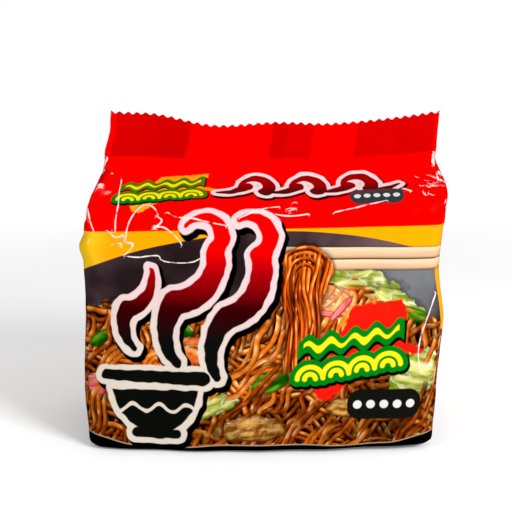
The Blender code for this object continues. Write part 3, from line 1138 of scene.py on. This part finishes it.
def lay_motif(picture, point, outline, blur=0.3):
    """The bowl in red that darkens to black, in a pale outline, over a black shadow."""
    point = after(picture, point)
    _, y, _ = parts(point)
    dropped = use(MOTIF, Point=vector("SUBTRACT", point, (1.6, -2.2, 0.0)))["Distance"]
    picture = mixed(step(dropped, outline + 0.9 + blur, outline + 0.9 - blur), picture, srgb(10, 8, 8))
    distance = use(MOTIF, Point=after(picture, point))["Distance"]
    paper = mixed(step(y, 40.0, 120.0), srgb(224, 212, 198), srgb(240, 208, 212))
    picture = mixed(step(distance, outline + blur, outline - blur), picture, paper)
    ink = ramp(y / 130.0, (0.50, srgb(20, 21, 19)), (0.64, srgb(60, 6, 10)), (0.78, srgb(170, 2, 10)),
               (0.88, srgb(240, 0, 2)))
    return mixed(step(distance, blur, -blur), picture, ink)


# %% Wave crests for the shoulder


def crest_group():
    given, give = new_group("wave_crests", {"Point": "point"}, {"Distance": "number"})
    wobble = vector("SUBTRACT", cloud(given["Point"], 6.0, colour=True), (0.5, 0.5, 0.5))
    point = vector("ADD", given["Point"], vector("SCALE", wobble, scale=1.6))
    shapes = []
    for i in range(3):
        left = 34.0 * i
        shapes.append(arc(point, (left - 1.0, 2.0), 9.5, -35, 235, 5.0, 1.2))
        shapes.append(arc(point, (left - 22.0, 18.0), 22.5, 262, 52, 1.2, 4.4))
    shapes.append(stroke(point, (80, -6), (94, 0), 3.8, 1.0))
    return give(Distance=lowest(*shapes))


CRESTS = crest_group()


def lay_crests(picture, point):
    """Wave crests in dark red and black, with a pale outline and a black shadow."""
    point = after(picture, point)
    dropped = use(CRESTS, Point=vector("SUBTRACT", point, (0.9, -1.8, 0.0)))["Distance"]
    picture = mixed(step(dropped, 4.1, 3.5), picture, srgb(20, 14, 14))
    distance = use(CRESTS, Point=after(picture, point))["Distance"]
    picture = mixed(step(distance, 3.3, 2.7), picture, srgb(242, 222, 224))
    ink = mixed(step(parts(point)[1], -6.0, 8.0), srgb(28, 24, 24), srgb(150, 2, 12))
    return mixed(step(distance, 0.3, -0.3), picture, ink)


# %% Banner of wave scales


def banner_group():
    given, give = new_group("wave_banner", {"Point": "point"}, {"Distance": "number"})
    point = given["Point"]
    shapes = []
    for i in range(4):
        centre = (26.5 + 15.6 * i, 42.0 + 2.6 * i)
        for radius in (7.8, 3.3):
            shapes.append(arc(point, centre, radius, 8, 172, 1.5, 1.5))
    x, y, _ = parts(point)
    ripple = 61.5 + 0.17 * (x - 20.0) + 2.4 * work("SINE", (x - 20.0) * 0.46)
    line = work("ABSOLUTE", y - ripple) * 0.76 - (1.4 + 0.5 * work("SINE", x * 0.24))
    shapes.append(highest(line, 21.0 - x, x - 78.0))
    return give(Distance=lowest(*shapes))


BANNER = banner_group()


def lay_banner(picture, point, splash, top):
    """Yellow wave scales under a wavy line, on green with a black shadow, over a brush of colour."""
    point = after(picture, point)
    x, y, _ = parts(point)
    slant = stroke(point, (36, 36), (66, 80), 7.0, 18.0)
    brush = lowest(
        highest(slant, y - top - 0.14 * x, x - 83.0), stroke(point, (78, 62), (92, 58.5), 3.6, 1.8),
    )
    brush = brush + 2.2 * (cloud(point, 3.0) - 0.5)
    picture = mixed(step(brush, 0.5, -0.5), picture, splash)
    dropped = use(BANNER, Point=vector("SUBTRACT", after(picture, point), (0.8, -1.4, 0.0)))["Distance"]
    picture = mixed(step(dropped, 4.2, 3.6), picture, srgb(14, 16, 12))
    distance = use(BANNER, Point=after(picture, point))["Distance"]
    picture = mixed(step(distance, 3.5, 2.9), picture, srgb(4, 130, 24))
    return mixed(step(distance, 0.3, -0.3), picture, srgb(248, 236, 20))


# %% Pill with five dots


def lay_pill(picture, point, centre, half_width, half_height, ink=(24, 25, 21)):
    """A dark plate with one dot for each portion."""
    point = after(picture, point)
    plate = box(point, centre, half_width, half_height, half_height * 0.85)
    picture = mixed(step(plate, 0.3, -0.3), picture, srgb(*ink))
    for i in range(PORTIONS):
        place = (centre[0] + (i - (PORTIONS - 1) / 2) * half_width * 0.36, centre[1])
        dot = oval(point, place, half_height * 0.28, half_height * 0.28)
        picture = mixed(step(dot, 0.25, -0.25), picture, srgb(226, 226, 222))
    return picture


# %% [markdown]
# ## The back of the pack
#
# The back of such a pack has a pale panel with the cooking steps. Here the steps are three round
# pictures, a pan, a drop of water and a clock, over a blank ruled box.

# %% Back panel


def back_group():
    given, give = new_group("back_print", {"Point": "point"}, {"Color": "colour"})
    point = given["Point"]
    x, y, _ = parts(point)
    panel = box(point, (0, 58), 84.0, 40.0, 5.0)
    picture = mixed(step(panel, 1.6, 1.0), YELLOW, srgb(150, 20, 10))
    picture = mixed(step(panel, 0.3, -0.3), picture, srgb(250, 242, 222))
    for i in range(3):
        centre = (-62.0 + 29.0 * i, 74.0)
        disc = oval(point, centre, 12.0, 12.0)
        picture = mixed(step(disc, 0.3, -0.3), picture, srgb(214, 30, 16))
        picture = mixed(step(disc, -1.0, -1.6), picture, srgb(255, 250, 238))
    pan = lowest(
        highest(oval(point, (-63, 76), 6.5, 6.5), y - 75.0),
        stroke(point, (-57, 74.5), (-50.5, 78), 0.9),
    )
    drop = lowest(oval(point, (-33, 71.5), 4.6, 4.6), stroke(point, (-33, 73), (-33, 81), 3.6, 0.2))
    clock = lowest(
        work("ABSOLUTE", oval(point, (-4, 74), 6.6, 6.6)) - 0.8,
        stroke(point, (-4, 74), (-4, 78.5), 0.7),
        stroke(point, (-4, 74), (-0.6, 74), 0.7),
    )
    picture = mixed(step(lowest(pan, drop, clock), 0.25, -0.25), picture, srgb(60, 34, 20))
    ruled = box(point, (50, 58), 26.0, 32.0, 1.5)
    rows = work("ABSOLUTE", work("FRACT", y / 6.4) - 0.5) * 6.4 - 3.0
    grid = highest(ruled, lowest(-rows, work("ABSOLUTE", x - 44.0) - 0.3, work("ABSOLUTE", ruled) - 0.4))
    picture = mixed(step(ruled, 0.2, -0.2), picture, srgb(255, 252, 244))
    picture = mixed(step(grid, 0.15, -0.15), picture, srgb(120, 92, 70))
    strip = box(point, (-33, 38), 41.0, 11.0, 3.0)
    picture = mixed(step(strip, 0.3, -0.3), picture, srgb(250, 206, 60))
    for i in range(PORTIONS):
        block = box(point, (-65.0 + 16.0 * i, 38), 6.2, 7.0, 1.6)
        waves = work("SINE", x * 1.7 + 1.2 * work("SINE", y * 1.5))
        block_colour = mixed(step(waves, -0.3, 0.3), srgb(214, 140, 60), srgb(246, 200, 120))
        picture = mixed(step(block, 0.25, -0.25), picture, block_colour)
    return give(Color=picture)


# %% [markdown]
# ## The printed film
#
# The print is laid down layer by layer: the dish, the yellow band over its arch, the lifted
# noodles, the back panel, the red ground, the black strip at the foot, and then the motifs. Where
# the fin holds more layers of film behind the front one, its red is darker.

# %% The print
RED = (1.0, 0.0, 0.0)
YELLOW = srgb(254, 170, 4)
BACK_PRINT = back_group()
FIN_LAYERS = ((-93.0, -71.0, 0.70), (-71.0, -49.5, 0.67), (-1.0, 8.4, 0.69), (8.4, 23.0, 0.75),
              (48.5, 72.0, 0.71), (72.0, 94.5, 0.67))


def moved(point, offset, width, height):
    """The point in a motif's own measures, where the motif is moved and scaled."""
    return vector("DIVIDE", vector("SUBTRACT", point, (*offset, 0.0)), (width, height, 1.0))


def lay_fin(picture, point):
    """The darker places of the fin, with the fine ribs of the sealing jaws."""
    point = after(picture, point)
    x, y, _ = parts(point)
    above = step(y, SEAL_MEASURE - 0.4, SEAL_MEASURE + 0.4)
    for start, end, share in FIN_LAYERS:
        within = step(x, start - 0.3, start + 0.3) * step(x, end + 0.3, end - 0.3) * above
        ribs = 0.5 + 0.5 * work("SINE", y * 2 * math.pi / 1.35)
        darker = mixed(ribs * 0.5, (share, 0.0, 0.0), (share * 0.88, 0.0, 0.0))
        picture = mixed(within, picture, darker)
    return picture


def print_group():
    given, give = new_group("pack_print", {"Point": "point"}, {"Color": "colour"})
    point = given["Point"]
    x, y, _ = parts(point)
    around = work("ABSOLUTE", x)
    picture = use(DISH, Point=point)["Color"]
    beyond = highest(x - 94.5, 0.0)
    arch = 124.3 - 0.00177 * (x - 12.0) * (x - 12.0) - lowest(4.5 * beyond * beyond, 42.0)
    # Painted highlight: the yellow turns lighter round the pack's left front edge.
    left_edge_highlight = step(x, -78.0, -95.0) * step(x, -130.0, -108.0)
    picture = mixed(step(y - arch, -0.3, 0.3), picture, mixed(left_edge_highlight, YELLOW, srgb(254, 200, 30)))
    picture = use(LIFTED, Point=point, Under=picture)["Color"]
    side = work("SIGN", x)
    turned = pair(side * (2 * HALF_DEPTH + 2 * HALF_WIDTH) - x, y)
    back = use(BACK_PRINT, Point=after(picture, turned))["Color"]
    picture = mixed(step(around, QUARTER - 0.3, QUARTER + 0.3), picture, back)
    picture = mixed(step(y - (125.2 + 0.02 * x * step(around, 140.0, 100.0)), -0.25, 0.25), picture, RED)
    strip = 4.6 + 1.0 * work("COSINE", x * 0.09) * step(around, 20.0, 50.0) - 1.5 * step(around, 30.0, 60.0)
    strip = strip + 7.0 * step(around, 70.0, 98.0)
    picture = mixed(step(y - strip, 0.9, 0.6), picture, srgb(175, 149, 122))
    picture = mixed(step(y - strip, 0.2, -0.2), picture, srgb(9, 9, 10))
    picture = lay_motif(picture, point, 3.2)
    picture = lay_banner(picture, moved(point, (2.8, 5.6), 0.9, 0.9), srgb(250, 24, 8), 79.8)
    picture = lay_pill(picture, point, (68.0, 28.5), 20.5, 8.6)
    picture = lay_banner(picture, moved(point, (-94.9, 113.0), 0.72, 0.72), srgb(247, 160, 28), 71.0)
    picture = lay_crests(picture, moved(point, (-7.0, 157.0), 0.84, 0.95))
    picture = lay_pill(picture, point, (59.0, 146.0), 14.5, 6.6, (52, 58, 62))
    picture = lay_fin(picture, point)
    return give(Color=picture)


PRINT = print_group()

# %% The film's material


PRINT_GAIN = 0.82  # even bright inks take in some of the light


def film_material():
    material = bpy.data.materials.new("printed_film")
    material.use_nodes = True
    tree = material.node_tree
    shader = tree.nodes["Principled BSDF"]
    place = tree.nodes.new("ShaderNodeUVMap")
    place.uv_map = "print"
    point = Value(place.outputs[0])
    picture = use(PRINT, Point=point)["Color"]
    folds = tree.nodes.new("ShaderNodeAttribute")
    folds.attribute_name = "crease"
    signed, near, strength = parts(after(picture, Value(folds.outputs["Vector"])))
    # Painted highlight and whitening: a pale line along each crease, broken into dashes, partly the
    # whitening of folded film and partly a painted glint.
    broken = cloud(point, 5.0, detail=2.0)
    half_width = (0.10 + 0.9 * highest(broken - 0.36, 0.0)) * strength
    from_line = work("ABSOLUTE", signed)
    crease_whitening_and_glint = (
        step(from_line, half_width + 0.22, half_width - 0.06)
        * step(near, 1.6, 1.1) * step(broken, 0.30, 0.44)
    )
    feed(
        shader.inputs["Base Color"],
        vector("SCALE", mixed(crease_whitening_and_glint * 0.92, picture, srgb(255, 236, 232)), scale=PRINT_GAIN),
    )
    x, y, _ = parts(point)
    fin = step(y, SEAL_MEASURE - 0.6, SEAL_MEASURE)
    ribs = fin * (0.5 + 0.5 * work("SINE", y * 2 * math.pi / 1.35))
    wrinkle = cloud(point, 7.0, detail=3.0)
    bump = tree.nodes.new("ShaderNodeBump")
    bump.inputs["Strength"].default_value = 1.0
    bump.inputs["Distance"].default_value = 0.0003
    feed(bump.inputs["Height"], ribs * 0.10 + wrinkle * 0.35)
    tree.links.new(bump.outputs[0], shader.inputs["Normal"])
    feed(shader.inputs["Roughness"], 0.09 + 0.10 * wrinkle)
    shader.inputs["Specular IOR Level"].default_value = 0.32
    return material


film_shape.materials.append(film_material())

# %% [markdown]
# ## Finish
#
# The sizes before and after are written side by side, because the look may not outgrow the solid.

# %% Write the sizes and finish
film_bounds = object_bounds()
for name, (low, high) in (("solid", cad_bounds), ("film", film_bounds)):
    print(name, [round(value / MM, 1) for value in low], [round(value / MM, 1) for value in high])
